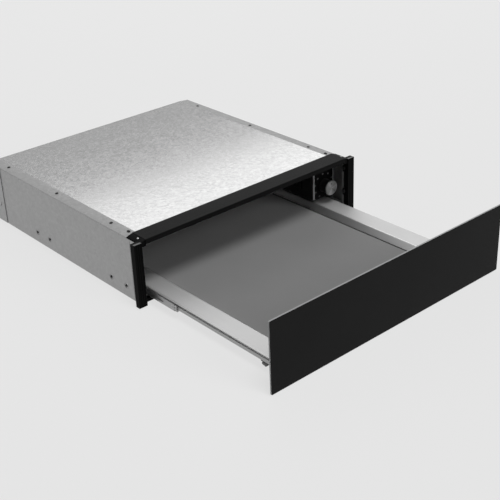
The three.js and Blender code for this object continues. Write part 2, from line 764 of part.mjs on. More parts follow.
// A trim strip has a half-round face.
function dialStrip(x) {
  const { front, bottom, top } = CONTROL_BOX;
  const y = front - GAP;
  const radius = STRIPS.width / 2;
  const section = [[x, y], ...arc(x + radius, y - 1.6, radius, 180, 360, 6), [x + 2 * radius, y]];
  return alongZ(section, bottom + 1, top - 1);
}

// The thermostat is a round case with a flange, screwed behind the box's front wall.
const thermostatFront = CONTROL_BOX.front + 1.6 + GAP;
const thermostat = turnedAlongY(
  [
    [0, thermostatFront + 33],
    [15, thermostatFront + 33],
    [18, thermostatFront + 30],
    [18, thermostatFront + 3],
    [21, thermostatFront + 3],
    [21, thermostatFront],
    [4.2, thermostatFront],
    [4.2, thermostatFront + 6],
    [0, thermostatFront + 6],
  ],
  KNOB_AXIS.x,
  KNOB_AXIS.z,
  20,
);

// The knob's grip is turned, with flutes round it, a blind hole for the shaft behind and a recess
// for the cap's boss in front.
function knob() {
  const { x, z } = KNOB_AXIS;
  const { radius, back } = KNOB;
  const front = KNOB_CAP.back + GAP;
  const recess = KNOB_CAP.boss + GAP;
  const turned = turnedAlongY(
    [
      [0, back - 8],
      [3.3, back - 8],
      [3.3, back],
      [radius, back],
      [radius, back - 2.5],
      [radius - 0.8, back - 3],
      [radius - 1, front],
      [recess, front],
      [recess, front + 4],
      [0, front + 4],
    ],
    x,
    z,
    32,
  );
  const flutes = Array.from({ length: 16 }, (_, i) => {
    const angle = (i / 16) * 2 * Math.PI;
    const reach = radius + 0.3;
    return rodAlongY(x + reach * Math.cos(angle), z + reach * Math.sin(angle), 1.2, front - 1, back - 4, 6);
  });
  return cut(turned, ...flutes);
}

// The cap is a disc with a rounded edge, a dimple for the pointer and a boss that sits in the grip.
function knobCap() {
  const { x, z } = KNOB_AXIS;
  const { radius, front, back, boss } = KNOB_CAP;
  const turned = turnedAlongY(
    [
      [0, back + 4],
      [boss, back + 4],
      [boss, back],
      [radius - 0.4, back],
      [radius, back - 0.6],
      [radius, front + 1.4],
      [radius - 0.6, front + 0.4],
      [radius - 1.6, front],
      [radius - 3, front + 0.4],
      [0, front + 0.4],
    ],
    x,
    z,
    32,
  );
  return cut(turned, rodAlongY(x, z + 9.5, 1.5, front - 1, front + 1.3, 10));
}

const pointer = rodAlongY(
  KNOB_AXIS.x,
  KNOB_AXIS.z + 9.5,
  1.5 - GAP,
  KNOB_CAP.front + 0.3,
  KNOB_CAP.front + 1.3 - GAP,
  10,
);
const shaft = turnedAlongY(
  [
    [0, thermostatFront + 6 - GAP],
    [3.0, thermostatFront + 6 - GAP],
    [3.0, KNOB.back - 8 + GAP],
    [0, KNOB.back - 8 + GAP],
  ],
  KNOB_AXIS.x,
  KNOB_AXIS.z,
  12,
);

add(casing, 'control_box', controlBox(), DARK_PLASTIC());
add(casing, 'dial_plate', dialPlate(), BLACK_PAINT());
add(casing, 'dial_strip_left', dialStrip(STRIPS.left), STAINLESS());
add(casing, 'dial_strip_right', dialStrip(STRIPS.right), STAINLESS());
add(casing, 'thermostat', thermostat, BARE_STEEL());
add(casing, 'thermostat_shaft', shaft, BARE_STEEL());
add(casing, 'knob', knob(), DARK_PLASTIC());
add(casing, 'knob_cap', knobCap(), STAINLESS());
add(casing, 'knob_pointer', pointer, DARK_PLASTIC());

// ---------------------------------------------------------------- hot air unit at the right
// The air guide is a sheet bent to a trough that lies against the right side panel above the
// drawer's rim. Its wall lets the air out of slots beside the blower and in through holes behind.
function airGuide() {
  const { wall, bottom, top, front, back } = DUCT;
  const edge = SIDE_X - SHEET - GAP;
  const face = [
    [edge, bottom],
    [wall, bottom],
    [wall, top],
    [edge, top],
  ];
  const trough = alongY(sheetOutline(face, -SHEET), front, back);
  const tools = [];
  for (let i = 0; i < 9; i += 1) {
    const outline = roundedRectangle(3, 26, 2, ROTOR.front + 8 + 17.5 * i, ROTOR.z, 1);
    tools.push(alongX(outline, wall - 2, wall + 3));
  }
  for (let row = 0; row < 5; row += 1) {
    for (let i = 0; i < 4; i += 1) {
      const y = 462 + 18 * i + 9 * (row % 2);
      tools.push(rodAlongX(y, ROTOR.z + 13 * (row - 2), 4.4, wall - 2, wall + 3, 8));
    }
  }
  return cut(trough, ...tools);
}

// The cross-flow fan wheel is a cage of curved blades between discs. A stub carries its front end
// and a hub takes the motor's shaft behind.
function fanWheel() {
  const { x, z, radius, front, back, blades } = ROTOR;
  const disc = (y) =>
    turnedAlongY(
      [
        [0, y],
        [radius, y],
        [radius, y + 1.6],
        [0, y + 1.6],
      ],
      0,
      0,
    );
  const bladeOutline = [
    ...arc(17.5, 7, 7, -98, -50, 2),
    ...arc(17.5, 7, 7.8, -50, -98, 2),
  ];
  const blade = alongY(bladeOutline, front + 0.8, back - 0.8);
  const cage = Array.from({ length: blades }, (_, i) => blade.clone().rotateY((i / blades) * 2 * Math.PI));
  const middle = turnedAlongY(
    [
      [15, (front + back) / 2],
      [radius, (front + back) / 2],
      [radius, (front + back) / 2 + 1.2],
      [15, (front + back) / 2 + 1.2],
      [15, (front + back) / 2],
    ],
    0,
    0,
  );
  const stub = rodAlongY(0, 0, 3, BLOWER_PLATES[0] - 1.5, front + 1);
  const hub = rodAlongY(0, 0, 6, back - 9, back + 1, 16);
  const socket = rodAlongY(0, 0, 2.2, back - 7, back + 2);
  return cut(join(disc(front), disc(back - 1.6), middle, ...cage, stub, hub), socket).translate(x, 0, z);
}

// Two plates that fill the duct carry the fan and the heater. A curved sheet between them guides
// the air round the wheel.
function fanBracket() {
  const { x, z, radius } = ROTOR;
  const [first, second] = BLOWER_PLATES;
  const [left, right] = [DUCT.wall + SHEET + GAP, SIDE_X - SHEET - GAP];
  const [bottom, top] = [DUCT.bottom + SHEET + GAP, DUCT.top - SHEET - GAP];
  const plateOutline = roundedRectangle(
    (right - left) / 2,
    (top - bottom) / 2,
    3,
    (left + right) / 2,
    (bottom + top) / 2,
    2,
  );
  const plates = BLOWER_PLATES.map((y) => alongY(plateOutline, y, y + 1.2));
  const guide = [
    ...arc(x, z, radius + 3, -75, 75, 8),
    ...arc(x, z, radius + 2.2, 75, -75, 8),
  ];
  const holes = [HEATER.bottom, HEATER.top].map((height) =>
    rodAlongY(HEATER.x, height, HEATER.tube + GAP, first - 1, second + 3, 12),
  );
  const bearing = rodAlongY(x, z, 3 + GAP, first - 1, second + 3, 16);
  return cut(join(...plates, alongY(guide, first + 0.6, second + 0.6)), ...holes, bearing);
}

// The motor is a round can behind the second plate, with a shaft into the fan wheel.
const motorFront = BLOWER_PLATES[1] + 1.2 + GAP;
const fanMotor = turnedAlongY(
  [
    [0, motorFront + 38],
    [7, motorFront + 38],
    [7, motorFront + 35],
    [18, motorFront + 35],
    [20, motorFront + 32],
    [20, motorFront + 7],
    [18, motorFront + 5],
    [9, motorFront + 5],
    [9, motorFront],
    [1.9, motorFront],
    [1.9, ROTOR.back - 6],
    [0, ROTOR.back - 6],
  ],
  ROTOR.x,
  ROTOR.z,
);

// The heater is a tube bent to a hairpin that lies along the fan wheel.
function tubeHeater() {
  const { x, tube, bottom, top, front, bend } = HEATER;
  const radius = (top - bottom) / 2;
  const path = new THREE.CurvePath();
  const at = (y, z) => new THREE.Vector3(x, y, z);
  path.add(new THREE.LineCurve3(at(front, bottom), at(bend, bottom)));
  const turn = arc(bend, (bottom + top) / 2, radius, -90, 90, 8).map(([y, z]) => at(y, z));
  path.add(new THREE.CatmullRomCurve3(turn));
  path.add(new THREE.LineCurve3(at(bend, top), at(front, top)));
  return new THREE.ExtrudeGeometry(shapeOf(arc(0, 0, tube, 0, 315, 7)), { steps: 44, extrudePath: path });
}

add(casing, 'air_guide_plate', airGuide(), BLACK_PAINT());
add(casing, 'fan_wheel', fanWheel(), STAINLESS());
add(casing, 'fan_bracket', fanBracket(), GALVANISED());
add(casing, 'fan_motor', fanMotor, BARE_STEEL());
add(casing, 'tube_heater', tubeHeater(), BARE_STEEL());

// A thermal cut-out disc sits on the air guide's wall in front of the fan.
const cutOutX = DUCT.wall + SHEET + GAP;
const cutOut = join(
  turnedAlongY(
    [
      [0, 11],
      [7, 11],
      [8, 9],
      [8, 0],
      [0, 0],
    ],
    0,
    0,
    16,
  ),
  alongY(roundedRectangle(14, 4, 3.9, 0, 0, 3), 0, 1.2),
);
cutOut.rotateZ(-Math.PI / 2).translate(cutOutX, 225, ROTOR.z);
add(casing, 'thermal_cutout', cutOut, BARE_STEEL());

// ---------------------------------------------------------------- latches and electrical pieces
// A push-to-open latch stands on the base plate under each side of the drawer's rim. Its plunger
// meets the front bracket.
function latchCase(sign) {
  const x = sign * LATCH.x;
  const { z, front, length } = LATCH;
  const caseBody = block([x - 7, front, SHEET + GAP], [x + 7, front + length, z + 7]);
  const foot = block([x - 7, front, SHEET + GAP], [x + 7, front + length + 12, SHEET + GAP + 2.5]);
  const bore = rodAlongY(x, z, 4.3, front - 1, front + length - 4, 16);
  const screwHole = new THREE.CylinderGeometry(1.9, 1.9, 9, 10)
    .rotateX(Math.PI / 2)
    .translate(x, front + length + 6, 3);
  const relief = block([x - 8, front + 8, SHEET], [x + 8, front + length - 8, SHEET + GAP + 5]);
  return cut(join(caseBody, foot), bore, screwHole, relief);
}

function latchPlunger(sign) {
  const tip = 1;
  return turnedAlongY(
    [
      [0, tip],
      [2.6, tip],
      [3.7, tip + 1],
      [3.7, LATCH.front + 20],
      [0, LATCH.front + 20],
    ],
    sign * LATCH.x,
    LATCH.z,
    16,
  );
}

for (const { name, sign } of SIDES) {
  add(casing, `latch_case_${name}`, latchCase(sign), DARK_PLASTIC());
  add(casing, `latch_plunger_${name}`, latchPlunger(sign), PALE_PLASTIC());
}

// The terminal block has three chambers.
const terminalY = CASING_BACK - SHEET - GAP;
const terminalBody = block([GLAND.x - 20, terminalY - 16, 44], [GLAND.x + 20, terminalY - 1, 64]);
const terminalFoot = block([GLAND.x - 24, terminalY - 3, 46], [GLAND.x + 24, terminalY, 62]);
const chambers = [0, 1, 2].map((i) =>
  block([GLAND.x - 16.5 + i * 12, terminalY - 17, 47], [GLAND.x - 7.5 + i * 12, terminalY - 6, 61]),
);
add(casing, 'terminal_block', cut(join(terminalBody, terminalFoot), ...chambers), PALE_PLASTIC());

// The cable gland: a six-sided nut outside the rear panel, a barrel through it and a lock nut inside.
function cableGland() {
  const { x, z, radius } = GLAND;
  const outside = CASING_BACK + GAP;
  const inside = CASING_BACK - SHEET - GAP;
  const barrel = rodAlongY(x, z, radius - GAP, inside - 5, outside + 7, 20);
  const nut = rodAlongY(x, z, radius + 2.5, outside, outside + 4.5, 6);
  const lockNut = rodAlongY(x, z, radius + 2, inside - 3.5, inside, 6);
  const bore = rodAlongY(x, z, 4.2, inside - 6, outside + 9, 16);
  return cut(join(barrel, nut, lockNut), bore);
}

add(casing, 'cable_gland', cableGland(), DARK_PLASTIC());

// ---------------------------------------------------------------- origin
// The origin moves to the middle of the underside.
warmingDrawer.position.set(0, -(SIDE_FRONT + CASING_BACK) / 2, 0);

export default warmingDrawer;
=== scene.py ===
# %% [markdown]
# # A built-in warming drawer
# The object is a low sheet-steel box that stands in a kitchen cabinet under an oven. Its drawer
# rolls out on telescopic runners, and its front is a single plain dark glass panel. The solids come
# from the CAD part as a fixed frame. This lesson gives each of them a finish and adds the small
# things that a maker leaves out of the solids, such as screws, rivets and printed marks.

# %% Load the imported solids
import math

import bpy
from mathutils import Matrix, Quaternion, Vector


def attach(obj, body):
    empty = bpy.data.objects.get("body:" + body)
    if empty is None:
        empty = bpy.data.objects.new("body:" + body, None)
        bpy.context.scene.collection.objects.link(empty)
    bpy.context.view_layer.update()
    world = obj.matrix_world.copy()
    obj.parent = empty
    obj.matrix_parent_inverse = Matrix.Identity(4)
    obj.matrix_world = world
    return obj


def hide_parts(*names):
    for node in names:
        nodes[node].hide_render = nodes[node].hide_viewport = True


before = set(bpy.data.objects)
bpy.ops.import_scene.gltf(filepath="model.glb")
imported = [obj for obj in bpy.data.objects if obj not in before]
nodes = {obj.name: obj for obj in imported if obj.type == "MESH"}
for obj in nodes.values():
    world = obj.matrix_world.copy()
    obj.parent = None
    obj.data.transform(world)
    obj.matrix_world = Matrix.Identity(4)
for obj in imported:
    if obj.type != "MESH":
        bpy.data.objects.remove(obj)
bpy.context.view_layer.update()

# %% [markdown]
# ## The camera
# The photograph was taken from the front left and a little above. The camera's place, its two
# turning angles and its slight roll were worked out from the panel's and the casing's corners, and
# a lens of 74 mm keeps the same strong perspective.

# %% Camera
CAMERA_PLACE = Vector((-1.1959, -1.6799, 0.9840))
CAMERA_YAW = math.radians(40.28)
CAMERA_PITCH = math.radians(27.71)
CAMERA_ROLL = math.radians(-2.47)
CAMERA_LENS = 73.97
FILM_WIDTH = 36
VIEW_END = 60

forward = Vector(
    (
        math.sin(CAMERA_YAW) * math.cos(CAMERA_PITCH),
        math.cos(CAMERA_YAW) * math.cos(CAMERA_PITCH),
        -math.sin(CAMERA_PITCH),
    )
)
level_right = Vector((math.cos(CAMERA_YAW), -math.sin(CAMERA_YAW), 0))
level_up = level_right.cross(forward)
right = level_right * math.cos(CAMERA_ROLL) + level_up * math.sin(CAMERA_ROLL)
up = level_up * math.cos(CAMERA_ROLL) - level_right * math.sin(CAMERA_ROLL)

camera_data = bpy.data.cameras.new("camera")
camera = bpy.data.objects.new("camera", camera_data)
bpy.context.scene.collection.objects.link(camera)
turn = Matrix((right, up, -forward)).transposed().to_4x4()
camera.matrix_world = Matrix.Translation(CAMERA_PLACE) @ turn
camera_data.lens = CAMERA_LENS
camera_data.sensor_width = FILM_WIDTH
camera_data.clip_end = VIEW_END
bpy.context.scene.camera = camera
print("camera at", [round(v, 3) for v in camera.location])

# %% [markdown]
# ## Shared effects
# Real sheet metal is never one flat grey. Zinc freezes into crystals called spangle, rolled steel
# keeps fine lines along its length, and hands leave faint smudges. Each effect is one node group
# with named inputs, so that every material can use it at its own size.

# %% Helpers for node trees
def feed(tree, node, inputs):
    """Gives each named input of a node a number, or the output of another node."""
    for socket, value in inputs.items():
        if isinstance(value, bpy.types.NodeSocket):
            tree.links.new(value, node.inputs[socket])
        else:
            node.inputs[socket].default_value = value


def add_node(tree, kind, inputs=None, **settings):
    """Adds a node. Its settings come first, because they decide which inputs it has."""
    node = tree.nodes.new(kind)
    for key, value in settings.items():
        setattr(node, key, value)
    feed(tree, node, inputs or {})
    return node


def calculate(tree, operation, *values):
    """One step of arithmetic on numbers or outputs."""
    node = add_node(tree, "ShaderNodeMath", dict(enumerate(values)), operation=operation)
    return node.outputs[0]


def grey(value, tint=0.0):
    """A grey of the given strength, with a little blue (above 0) or warmth (below 0)."""
    return (value * (1 - tint), value, value * (1 + tint), 1)


# %% Helpers that start and end an effect
def start_effect(name, **inputs):
    """Starts a group. Each input is given by its usual value, whose length tells its kind."""
    group = bpy.data.node_groups.new(name, "ShaderNodeTree")
    kinds = {4: "NodeSocketColor", 3: "NodeSocketVector"}
    for socket, value in inputs.items():
        kind = kinds[len(value)] if isinstance(value, tuple) else "NodeSocketFloat"
        made_socket = group.interface.new_socket(
            socket.replace("_", " "), in_out="INPUT", socket_type=kind
        )
        made_socket.default_value = value
    group.interface.new_socket("Color", in_out="OUTPUT", socket_type="NodeSocketColor")
    for socket in ("Roughness", "Height"):
        group.interface.new_socket(socket, in_out="OUTPUT", socket_type="NodeSocketFloat")
    place = add_node(group, "ShaderNodeTexCoord").outputs["Object"]
    return group, add_node(group, "NodeGroupInput").outputs, place


def end_effect(group, given, tone_from, middle, contrast, rough_from, rough_swing, height):
    """Lightens the tone where a value lies above its middle, darkens it below, and roughens."""
    swing = calculate(group, "SUBTRACT", tone_from, middle)
    amount = calculate(group, "MULTIPLY_ADD", swing, contrast, 1.0)
    tone = add_node(
        group, "ShaderNodeVectorMath", {0: given["Tone"], "Scale": amount}, operation="SCALE"
    )
    rough = calculate(group, "MULTIPLY_ADD", rough_from, rough_swing, given["Roughness"])
    add_node(
        group, "NodeGroupOutput", {"Color": tone.outputs[0], "Roughness": rough, "Height": height}
    )
    print("effect:", group.name)


# %% [markdown]
# ### Spangle
# The zinc crystals on galvanised sheet are flat patches with crooked edges, each one a little
# lighter or darker than the next. A Voronoi pattern gives the patches, and a little noise added to
# the coordinates makes their edges crooked.

# %% The spangle group
CROOKEDNESS = 0.004
CLOUD_SHARE = 0.6

spangle, given, place = start_effect(
    "zinc_spangle", Tone=grey(0.6), Crystals_per_metre=90.0, Contrast=0.12, Roughness=0.4
)
crook = add_node(spangle, "ShaderNodeTexNoise", {"Vector": place, "Scale": 160, "Detail": 2})
bend = add_node(
    spangle, "ShaderNodeMixRGB",
    {"Fac": CROOKEDNESS, "Color1": place, "Color2": crook.outputs["Color"]},
    blend_type="LINEAR_LIGHT",
)
crystals = add_node(
    spangle, "ShaderNodeTexVoronoi",
    {"Vector": bend.outputs["Color"], "Scale": given["Crystals per metre"]}, feature="F1",
)
chance = add_node(spangle, "ShaderNodeSeparateColor", {0: crystals.outputs["Color"]}).outputs
cloud = add_node(spangle, "ShaderNodeTexNoise", {"Vector": place, "Scale": 9, "Detail": 3})
mixed = calculate(spangle, "MULTIPLY_ADD", cloud.outputs["Fac"], CLOUD_SHARE, chance[0])
end_effect(
    spangle, given, tone_from=mixed, middle=0.5 + CLOUD_SHARE / 2, contrast=given["Contrast"],
    rough_from=chance[1], rough_swing=0.1, height=chance[2],
)

# %% [markdown]
# ### Rolling lines
# Brushed and rolled metal carries fine parallel lines. Noise that is stretched a hundred times
# along one direction draws them, and the stretch is an input, so the lines can run along any piece.

# %% The rolling lines group
lines, given, place = start_effect(
    "rolling_lines", Tone=grey(0.6), Stretch=(1.0, 1.0, 1.0), Contrast=0.1, Roughness=0.3
)
stretched = add_node(
    lines, "ShaderNodeVectorMath", {0: place, 1: given["Stretch"]}, operation="MULTIPLY"
)
grain = add_node(
    lines, "ShaderNodeTexNoise",
    {"Vector": stretched.outputs[0], "Scale": 1, "Detail": 4, "Roughness": 0.7},
).outputs["Fac"]
smudge = add_node(lines, "ShaderNodeTexNoise", {"Vector": place, "Scale": 14, "Detail": 3})
end_effect(
    lines, given, tone_from=grain, middle=0.5, contrast=given["Contrast"],
    rough_from=smudge.outputs["Fac"], rough_swing=0.08, height=grain,
)

# %% [markdown]
# ### Moulded texture
# Plastic, paint and rubber all have a fine orange-peel or grain and a little cloudiness. One group
# serves all three.

# %% The moulded texture group
peel, given, place = start_effect(
    "moulded_texture", Tone=grey(0.05), Grains_per_metre=900.0, Cloudiness=0.15, Roughness=0.5
)
grain = add_node(
    peel, "ShaderNodeTexNoise", {"Vector": place, "Scale": given["Grains per metre"], "Detail": 2}
).outputs["Fac"]
cloud = add_node(
    peel, "ShaderNodeTexNoise", {"Vector": place, "Scale": 11, "Detail": 4}
).outputs["Fac"]
end_effect(
    peel, given, tone_from=cloud, middle=0.5, contrast=given["Cloudiness"],
    rough_from=cloud, rough_swing=0.1, height=grain,
)

# %% [markdown]
# ### Spun metal with painted reflections
# The knob's cap is faced on a lathe, and its fine rings are drawn as a bump. Bright and dark wedges
# that meet in the middle are painted into its tone, as painted reflections of the light that such
# rings scatter. The direction from the axis picks the wedge, and the distance draws the rings.

# %% The spun metal group
GROOVES = 9000

spun, given, place = start_effect(
    "spun_metal", Tone=grey(0.3), Axis=(0.0, 0.0, 0.0), Contrast=1.0, Roughness=0.35
)
around = add_node(
    spun, "ShaderNodeVectorMath", {0: place, 1: given["Axis"]}, operation="SUBTRACT"
)
level = add_node(
    spun, "ShaderNodeVectorMath", {0: around.outputs[0], 1: (1, 0, 1)}, operation="MULTIPLY"
).outputs[0]
compass = add_node(spun, "ShaderNodeVectorMath", {0: level}, operation="NORMALIZE").outputs[0]
# Painted reflections: the tone swings between bright and dark wedges round the axis.
painted_wedges = add_node(
    spun, "ShaderNodeTexNoise", {"Vector": compass, "Scale": 1.7, "Detail": 3}
).outputs["Fac"]
distance = add_node(spun, "ShaderNodeVectorMath", {0: level}, operation="LENGTH")
rings = calculate(
    spun, "SINE", calculate(spun, "MULTIPLY", distance.outputs["Value"], GROOVES)
)
end_effect(
    spun, given, tone_from=painted_wedges, middle=0.5, contrast=given["Contrast"],
    rough_from=painted_wedges, rough_swing=0.1, height=rings,
)

# %% [markdown]
# ## Finishes
# A finish is a Principled BSDF fed by one of the effects. What is the same all over a piece, such as
# its metalness or a coat, is set on the shader's own sockets. What changes over the surface comes
# out of the group.

# %% A helper that makes a finish
METAL = {"Metallic": 1.0}


def make_finish(name, effect, bump=0.05, bump_distance=0.0003, shader_values=None, **effect_values):
    """A material whose effect values are named after the group's inputs."""
    material = bpy.data.materials.new(name)
    material.use_nodes = True
    tree = material.node_tree
    values = {socket.replace("_", " "): value for socket, value in effect_values.items()}
    surface = add_node(tree, "ShaderNodeGroup", values, node_tree=effect).outputs
    relief = add_node(
        tree, "ShaderNodeBump",
        {"Strength": bump, "Distance": bump_distance, "Height": surface["Height"]},
    )
    looks = {"Base Color": surface["Color"], "Roughness": surface["Roughness"]}
    looks["Normal"] = relief.outputs["Normal"]
    feed(tree, tree.nodes["Principled BSDF"], {**looks, **(shader_values or {})})
    return material


# %% Helpers that set a zone of a finish apart
def overlay(material, mask, colour, roughness):
    """Where the mask is 1, the finish takes another colour and another roughness."""
    tree = material.node_tree
    shader = tree.nodes["Principled BSDF"]
    for socket, kind, value in (("Base Color", "RGBA", colour), ("Roughness", "FLOAT", roughness)):
        below = shader.inputs[socket].links[0].from_socket
        mix = add_node(
            tree, "ShaderNodeMix", {"Factor": mask, "A": below, "B": value}, data_type=kind
        )
        tree.links.new(mix.outputs["Result"], shader.inputs[socket])


def band_mask(material, source, axis, low, high):
    """1 where the size of one part of a texture coordinate lies between two limits."""
    tree = material.node_tree
    place = add_node(tree, "ShaderNodeTexCoord").outputs[source]
    parts = add_node(tree, "ShaderNodeSeparateXYZ", {0: place}).outputs
    size = calculate(tree, "ABSOLUTE", parts[axis])
    return calculate(tree, "COMPARE", size, (low + high) / 2, (high - low) / 2)


# %% Sheet-metal finishes
zinc_cover = make_finish(
    "zinc_sheet_cover", spangle, Tone=grey(0.34), Crystals_per_metre=210.0, Contrast=0.12,
    Roughness=0.12, bump=0.015, shader_values=METAL,
)
zinc_side = make_finish(
    "zinc_sheet_side", spangle, Tone=grey(0.37), Crystals_per_metre=190.0, Contrast=0.08,
    Roughness=0.4, bump=0.02, shader_values=METAL,
)
zinc_edge = make_finish(
    "zinc_sheet_edge", spangle, Tone=grey(0.3), Crystals_per_metre=190.0, Contrast=0.08,
    Roughness=0.62, bump=0.02, shader_values=METAL,
)
zinc_inside = make_finish(
    "zinc_sheet_inside", spangle, Tone=grey(0.42), Crystals_per_metre=110.0, Contrast=0.12,
    Roughness=0.45, bump=0.04, shader_values=METAL,
)
print("zinc finishes made")

# %% [markdown]
# ### Painted highlights on the tray and painted light on the runners
# The wall and the lip of the tray's well are painted brighter than the flat parts, as painted
# highlights, and the outer edge of its rim is painted a little darker to tone down its highlight.
# The runners are painted bright inside, where the tray's rim shades them, as painted light in that
# shade, and stay dull outside. A mask from the direction or the place of a face sets such zones
# apart. Directions run from 0 to 1, and places are in metres from the object's middle.

# %% Tray and runner finishes
WALL_PAINTED_HIGHLIGHT = (0.3, 0.48)
LIP_PAINTED_HIGHLIGHT = (0.5, 0.985)
RIM_HIGHLIGHT_TONED_DOWN = (0.2557, 0.27)
RAIL_INSIDE_PAINTED_LIGHT = (0.0, 0.2576)

tray_steel = make_finish(
    "tray_steel", lines, Tone=grey(0.54), Stretch=(900.0, 12.0, 900.0), Contrast=0.1,
    Roughness=0.66, bump=0.02, shader_values=METAL,
)
# Painted highlights: the well's wall and lip are lighter, and the rim's outer edge is a little darker
# to tone down its highlight.
overlay(tray_steel, band_mask(tray_steel, "Normal", "Z", *WALL_PAINTED_HIGHLIGHT), grey(0.66), 0.45)
overlay(tray_steel, band_mask(tray_steel, "Normal", "Z", *LIP_PAINTED_HIGHLIGHT), grey(0.66), 0.46)
overlay(tray_steel, band_mask(tray_steel, "Object", "X", *RIM_HIGHLIGHT_TONED_DOWN), grey(0.5), 0.6)
runner_steel = make_finish(
    "runner_steel", lines, Tone=grey(0.38), Stretch=(700.0, 9.0, 700.0), Contrast=0.25,
    Roughness=0.34, bump=0.05, shader_values=METAL,
)
# Painted light: the inside of each runner is much lighter, where the tray's rim shades it.
overlay(runner_steel, band_mask(runner_steel, "Object", "X", *RAIL_INSIDE_PAINTED_LIGHT), grey(0.88), 0.4)

# %% Other metal finishes
trim_steel = make_finish(
    "trim_steel", lines, Tone=grey(0.92), Stretch=(900.0, 900.0, 30.0), Contrast=0.15,
    Roughness=0.45, bump=0.03, shader_values=METAL,
)
# Painted reflections: the cap's bright and dark wedges are set in its tone at a strong contrast.
cap_steel = make_finish(
    "cap_steel", spun, Tone=grey(0.2), Axis=(0.2415, 0, 0.07), Contrast=2.2, Roughness=0.3,
    bump=0.05, shader_values=METAL,
)
fan_steel = make_finish(
    "fan_steel", lines, Tone=grey(0.4), Stretch=(1500.0, 40.0, 1500.0), Contrast=0.25,
    Roughness=0.3, bump=0.06, shader_values=METAL,
)
machine_steel = make_finish(
    "machine_steel", lines, Tone=grey(0.48), Stretch=(300.0, 300.0, 300.0), Contrast=0.2,
    Roughness=0.34, bump=0.05, shader_values=METAL,
)
heater_steel = make_finish(
    "heater_steel", lines, Tone=grey(0.16, -0.06), Stretch=(120.0, 120.0, 120.0), Contrast=0.5,
    Roughness=0.42, bump=0.1, shader_values=METAL,
)

# %% Paint, plastic and rubber finishes
frame_black = make_finish(
    "frame_black", peel, Tone=grey(0.003), Grains_per_metre=1400.0, Cloudiness=0.3,
    Roughness=0.42, bump=0.03, shader_values={"Specular IOR Level": 0.03},
)
rail_black = make_finish(
    "rail_black", lines, Tone=grey(0.006), Stretch=(11.0, 420.0, 420.0), Contrast=1.8,
    Roughness=0.34, bump=1.0, shader_values={"Specular IOR Level": 0.02},
)
black_plastic = make_finish(
    "black_plastic", peel, Tone=grey(0.008), Grains_per_metre=2200.0, Cloudiness=0.3,
    Roughness=0.5, bump=0.12, shader_values={"Specular IOR Level": 0.15},
)
pale_plastic = make_finish(
    "pale_plastic", peel, Tone=grey(0.42), Grains_per_metre=1500.0, Cloudiness=0.12,
    Roughness=0.42, bump=0.05,
)
pad_plastic = make_finish(
    "pad_plastic", peel, Tone=grey(0.22), Grains_per_metre=1500.0, Cloudiness=0.2,
    Roughness=0.5, bump=0.08,
)
mat_rubber = make_finish(
    "mat_rubber", peel, Tone=grey(0.2), Grains_per_metre=2600.0, Cloudiness=0.12,
    Roughness=0.75, bump=0.3, bump_distance=0.0004, shader_values={"Specular IOR Level": 0.3},
)
# Painted shade: a near-black rubber for the strips along the mat's edges, where the shadow line
# falls.
painted_shade_rubber = make_finish(
    "painted_shade_rubber", peel, Tone=grey(0.02), Grains_per_metre=2600.0, Cloudiness=0.3,
    Roughness=0.8, bump=0.2, shader_values={"Specular IOR Level": 0.1},
)

# %% [markdown]
# ### The front glass
# The panel's face is polished and black behind. Its cut edges are ground, so they look pale and
# dull beside it. The direction in which a face looks tells the edges from the front.

# %% The glass finish
GLASS_EDGE = (0.0, 0.4)

front_glass = make_finish(
    "front_glass", peel, Tone=grey(0.008), Grains_per_metre=300.0, Cloudiness=0.25,
    Roughness=0.16, bump=0.0, shader_values={"Specular IOR Level": 0.04},
)
overlay(front_glass, band_mask(front_glass, "Normal", "Y", *GLASS_EDGE), grey(0.34, 0.01), 0.5)
print("finishes:", len(bpy.data.materials))

# %% [markdown]
# ## Dress the solids
# Each solid of the frame keeps its shape and takes one finish. The list is by finish, because that
# is how a maker would order the work.

# %% Give every solid its finish
BOTH = ("left", "right")
dressed = {
    zinc_cover: ["top_cover"],
    zinc_side: ["rear_panel", "base_plate"] + [f"side_panel_{s}" for s in BOTH],
    zinc_inside: ["fan_bracket"]
    + [f"runner_bracket_{p}_{s}" for p in ("front", "rear") for s in BOTH]
    + [f"front_bracket_{s}" for s in BOTH],
    tray_steel: ["tray", "dial_strip_left", "dial_strip_right"],
    runner_steel: [f"runner_{p}_{s}" for p in ("outer", "middle", "inner") for s in BOTH],
    cap_steel: ["knob_cap"],
    fan_steel: ["fan_wheel"],
    machine_steel: ["thermostat", "thermostat_shaft", "fan_motor", "thermal_cutout"]
    + [f"ball_cage_{p}_{s}" for p in ("outer", "inner") for s in BOTH],
    heater_steel: ["tube_heater"],
    rail_black: ["top_rail"],
    frame_black: ["bottom_sill", "column_left", "column_right", "panel_carrier"]
    + ["dial_plate", "air_guide_plate"],
    black_plastic: ["control_box", "knob", "knob_pointer", "cable_gland"]
    + [f"{p}_{s}" for p in ("release_lever", "latch_case") for s in BOTH],
    pale_plastic: ["terminal_block"]
    + [f"{p}_{s}" for p in ("runner_buffer", "latch_plunger") for s in BOTH],
    mat_rubber: ["anti_slip_mat"],
    front_glass: ["front_glass"],
}
for material, names in dressed.items():
    for name in names:
        nodes[name].data.materials.clear()
        nodes[name].data.materials.append(material)
bare = set(nodes) - {name for names in dressed.values() for name in names}
print("solids without a finish:", sorted(bare))

# %% [markdown]
# ## Modelling the small pieces
# Every small piece starts as a primitive, is shaped in edit mode and gets a finish. Places are read
# off the maker's drawing in millimetres: x across from the middle, y backwards from the front of the
# black frame, z up from the underside of the casing. What stands on the drawer was drawn with the
# drawer shut, so it is shifted forwards by as much as the drawer stands open.

# %% Helpers that start a piece
import bmesh

DRAWN_MIDDLE = 285
STANDS_OPEN = {"casing": 0, "middle_rails": 90, "drawer": 366, "lever_left": 366}


